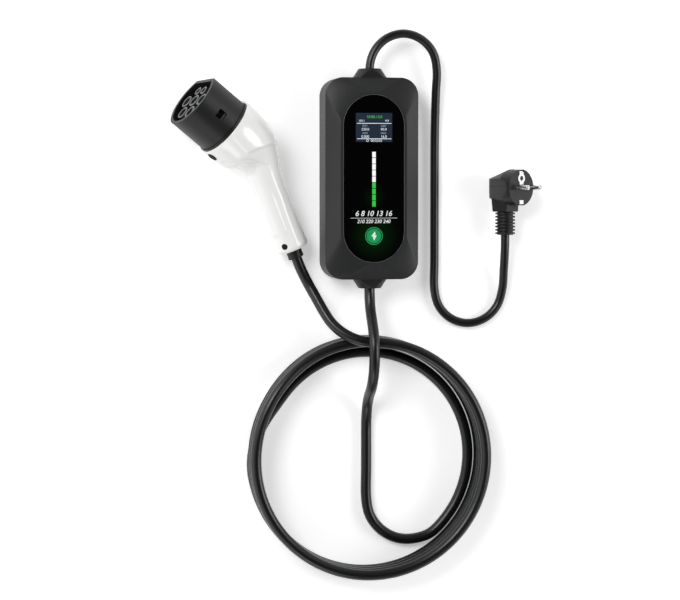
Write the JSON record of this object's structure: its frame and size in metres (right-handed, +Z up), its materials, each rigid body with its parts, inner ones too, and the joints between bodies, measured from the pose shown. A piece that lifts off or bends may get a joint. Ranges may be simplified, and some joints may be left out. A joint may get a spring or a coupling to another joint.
{
  "type": "electric car charger",
  "caption": "Portable car charger: a pistol grip connector, a control box with screen and lights, an earthed mains plug and a coiled charging cable.",
  "frame": {"origin": "centre of the control box's back face, on the floor", "axes": "+Z up out of the floor and out of the box's face panel, +Y from the box's centre to its mains lead, +X to the right of the face panel"},
  "size_m": [0.3809, 0.5635, 0.0779],
  "materials": {
    "box_black": "fine matte",
    "panel_black": "high gloss",
    "screen": "smooth",
    "led": "diffuse",
    "touch": "smooth",
    "circuit": "satin",
    "relay": "satin",
    "winding": "satin",
    "sensor": "satin",
    "terminal": "satin",
    "steel": "brushed",
    "nickel": "polished",
    "contact": "satin",
    "nose_black": "satin",
    "white_shell": "gloss",
    "soft_black": "matte",
    "cable_black": "satin",
    "seal_grey": "matte"
  },
  "bodies": {
    "root": {"rear_cover": "box_black", "front_cover": "box_black", "cover_seal": "seal_grey", "cover_screws": "steel", "face_panel": "panel_black", "display_module": "screen", "led_board": "led", "touch_button": "touch", "main_board": "circuit", "relays": "relay", "transformer": "winding", "leakage_sensor": "sensor", "capacitors": "sensor", "terminal_block": "terminal", "top_gland": "soft_black", "bottom_gland": "soft_black", "nose_shroud": "nose_black", "contact_carrier": "nose_black", "power_contacts": "contact", "signal_contacts": "contact", "nose_seal": "seal_grey", "left_shell": "white_shell", "right_shell": "white_shell", "shell_screws": "steel", "head_cap": "soft_black", "grip_cap": "soft_black", "cable_clamp": "sensor", "handle_boot": "soft_black", "plug_body": "soft_black", "plug_pin_left": "nickel", "plug_pin_right": "nickel", "earth_clip": "nickel", "earth_socket": "nickel", "plug_boot": "soft_black", "mains_lead": "cable_black", "box_lead": "cable_black", "handle_lead": "cable_black", "charge_coil": "cable_black"}
  },
  "joints": []
}
